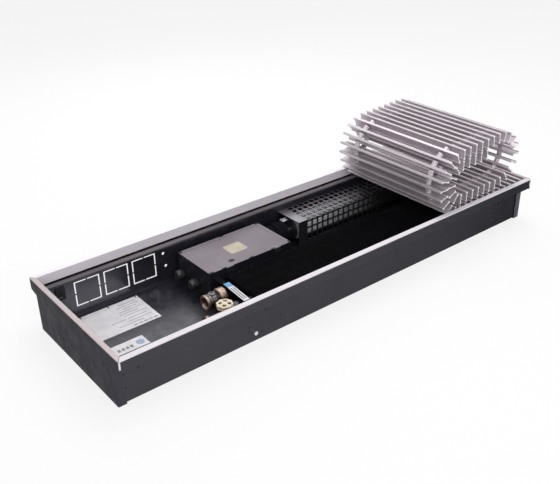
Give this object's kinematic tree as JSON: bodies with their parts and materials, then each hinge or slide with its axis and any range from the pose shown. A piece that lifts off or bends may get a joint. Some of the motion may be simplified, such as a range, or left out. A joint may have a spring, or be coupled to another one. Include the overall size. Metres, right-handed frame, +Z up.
{
  "type": "trench convector heater",
  "caption": "Floor trench convector with a black steel trough, aluminium frame, finned exchanger, cross-flow fan, valves, electrical box and a grille half rolled up at one end.",
  "frame": {"origin": "middle of the underside of the trough", "axes": "+X along the trough from the connection end to the rolled-up grille, +Y from the side facing the viewer to the rear wall with the knock-outs, +Z up"},
  "size_m": [0.8, 0.25, 0.1801],
  "materials": {
    "black_steel": "satin black powder coat with a fine texture",
    "lid_steel": "satin grey coated sheet",
    "anodised_aluminium": "natural anodised, brushed along the rail",
    "grille_aluminium": "natural anodised extrusion",
    "fan_aluminium": "thin rolled aluminium sheet",
    "rubber_strip": "matte ribbed rubber",
    "fin_coating": "matte black coated aluminium fins",
    "dark_copper": "copper tube under black coating",
    "nickel_brass": "nickel plated brass, turned",
    "bronze_brass": "dull cast and turned bronze",
    "cream_plastic": "cream moulded plastic",
    "black_plastic": "black moulded plastic",
    "zinc_steel": "zinc plated steel",
    "green_plastic": "green moulded plastic"
  },
  "bodies": {
    "casing": {"trough": "black_steel", "end_plate_left": "black_steel", "end_plate_right": "black_steel", "frame_rail_front": "anodised_aluminium", "frame_rail_rear": "anodised_aluminium", "frame_rail_left": "anodised_aluminium", "frame_rail_right": "anodised_aluminium", "ledge_strip_front": "rubber_strip", "ledge_strip_rear": "rubber_strip", "exchanger_fins": "fin_coating", "exchanger_tube": "dark_copper", "exchanger_bracket_left": "black_steel", "exchanger_bracket_right": "black_steel", "return_valve_body": "nickel_brass", "supply_valve_body": "bronze_brass", "union_nut_return": "bronze_brass", "union_nut_supply": "black_steel", "fan_guard_top": "black_steel", "fan_guard_front": "black_steel", "fan_housing": "black_steel", "fan_motor": "black_steel", "motor_bracket": "black_steel", "bearing_bracket": "black_steel", "electrical_box_base": "black_steel", "electrical_box_lid": "lid_steel", "cable_gland_front": "black_plastic", "cable_gland_rear": "black_plastic", "terminal_block": "green_plastic", "earth_stud": "zinc_steel"},
    "fan_rotor": {"fan_impeller": "fan_aluminium", "fan_shaft": "zinc_steel"},
    "return_spindle": {"return_valve_spindle": "nickel_brass"},
    "supply_cap": {"supply_valve_cap": "cream_plastic"},
    "grille": {"grille_bottom_layer": "grille_aluminium"},
    "outer_curl_1": {"outer_curl_lamella_1": "grille_aluminium"},
    "outer_curl_2": {"outer_curl_lamella_2": "grille_aluminium"},
    "outer_curl_3": {"outer_curl_lamella_3": "grille_aluminium"},
    "outer_curl_4": {"outer_curl_lamella_4": "grille_aluminium"},
    "outer_curl_5": {"outer_curl_lamella_5": "grille_aluminium"},
    "outer_curl_6": {"outer_curl_lamella_6": "grille_aluminium"},
    "outer_curl_7": {"outer_curl_lamella_7": "grille_aluminium"},
    "outer_curl_8": {"outer_curl_lamella_8": "grille_aluminium"},
    "outer_curl_9": {"outer_curl_lamella_9": "grille_aluminium"},
    "grille_roll": {"grille_top_layer": "grille_aluminium", "right_curl_lamella_1": "grille_aluminium", "right_curl_lamella_2": "grille_aluminium", "right_curl_lamella_3": "grille_aluminium", "right_curl_lamella_4": "grille_aluminium", "right_curl_lamella_5": "grille_aluminium", "right_curl_lamella_6": "grille_aluminium", "right_curl_lamella_7": "grille_aluminium", "right_curl_lamella_8": "grille_aluminium", "right_curl_lamella_9": "grille_aluminium", "grille_middle_layer": "grille_aluminium", "inner_curl_lamella_1": "grille_aluminium", "inner_curl_lamella_2": "grille_aluminium", "inner_curl_lamella_3": "grille_aluminium", "inner_curl_lamella_4": "grille_aluminium", "inner_curl_lamella_5": "grille_aluminium", "grille_inner_layer": "grille_aluminium"}
  },
  "joints": [
    {"name": "fan_spin", "type": "hinge", "parent": "casing", "child": "fan_rotor", "pos_m": [0.18, 0.078, 0.027], "axis": [1, 0, 0], "continuous": true},
    {"name": "return_spindle_turn", "type": "hinge", "parent": "casing", "child": "return_spindle", "pos_m": [-0.201, -0.025, 0.04], "axis": [0, 0, 1], "range_deg": [0, 720]},
    {"name": "supply_cap_turn", "type": "hinge", "parent": "casing", "child": "supply_cap", "pos_m": [-0.205, -0.062, 0.043], "axis": [0, 0, 1], "range_deg": [0, 360]},
    {"name": "grille_lift", "type": "slide", "parent": "casing", "child": "grille", "axis": [0, 0, 1], "range_m": [0, 0.15]},
    {"name": "grille_hinge_1", "type": "hinge", "parent": "grille", "child": "outer_curl_1", "pos_m": [0.2175, 0, 0.0695], "axis": [0, -1, 0], "range_deg": [0, 20.03]},
    {"name": "grille_hinge_2", "type": "hinge", "parent": "outer_curl_1", "child": "outer_curl_2", "pos_m": [0.20388, 0, 0.07447], "axis": [0, -1, 0], "range_deg": [0, 19.13]},
    {"name": "grille_hinge_3", "type": "hinge", "parent": "outer_curl_2", "child": "outer_curl_3", "pos_m": [0.19264, 0, 0.08363], "axis": [0, -1, 0], "range_deg": [0, 17.68]},
    {"name": "grille_hinge_4", "type": "hinge", "parent": "outer_curl_3", "child": "outer_curl_4", "pos_m": [0.18471, 0, 0.09577], "axis": [0, -1, 0], "range_deg": [0, 16.23]},
    {"name": "grille_hinge_5", "type": "hinge", "parent": "outer_curl_4", "child": "outer_curl_5", "pos_m": [0.18049, 0, 0.10964], "axis": [0, -1, 0], "range_deg": [0, 15.33]},
    {"name": "grille_hinge_6", "type": "hinge", "parent": "outer_curl_5", "child": "outer_curl_6", "pos_m": [0.18008, 0, 0.12413], "axis": [0, -1, 0], "range_deg": [0, 15.33]},
    {"name": "grille_hinge_7", "type": "hinge", "parent": "outer_curl_6", "child": "outer_curl_7", "pos_m": [0.18352, 0, 0.13822], "axis": [0, -1, 0], "range_deg": [0, 16.23]},
    {"name": "grille_hinge_8", "type": "hinge", "parent": "outer_curl_7", "child": "outer_curl_8", "pos_m": [0.19076, 0, 0.15078], "axis": [0, -1, 0], "range_deg": [0, 17.68]},
    {"name": "grille_hinge_9", "type": "hinge", "parent": "outer_curl_8", "child": "outer_curl_9", "pos_m": [0.20147, 0, 0.16055], "axis": [0, -1, 0], "range_deg": [0, 19.13]},
    {"name": "grille_hinge_10", "type": "hinge", "parent": "outer_curl_9", "child": "grille_roll", "pos_m": [0.2148, 0, 0.16627], "axis": [0, -1, 0], "range_deg": [0, 20.03]}
  ]
}
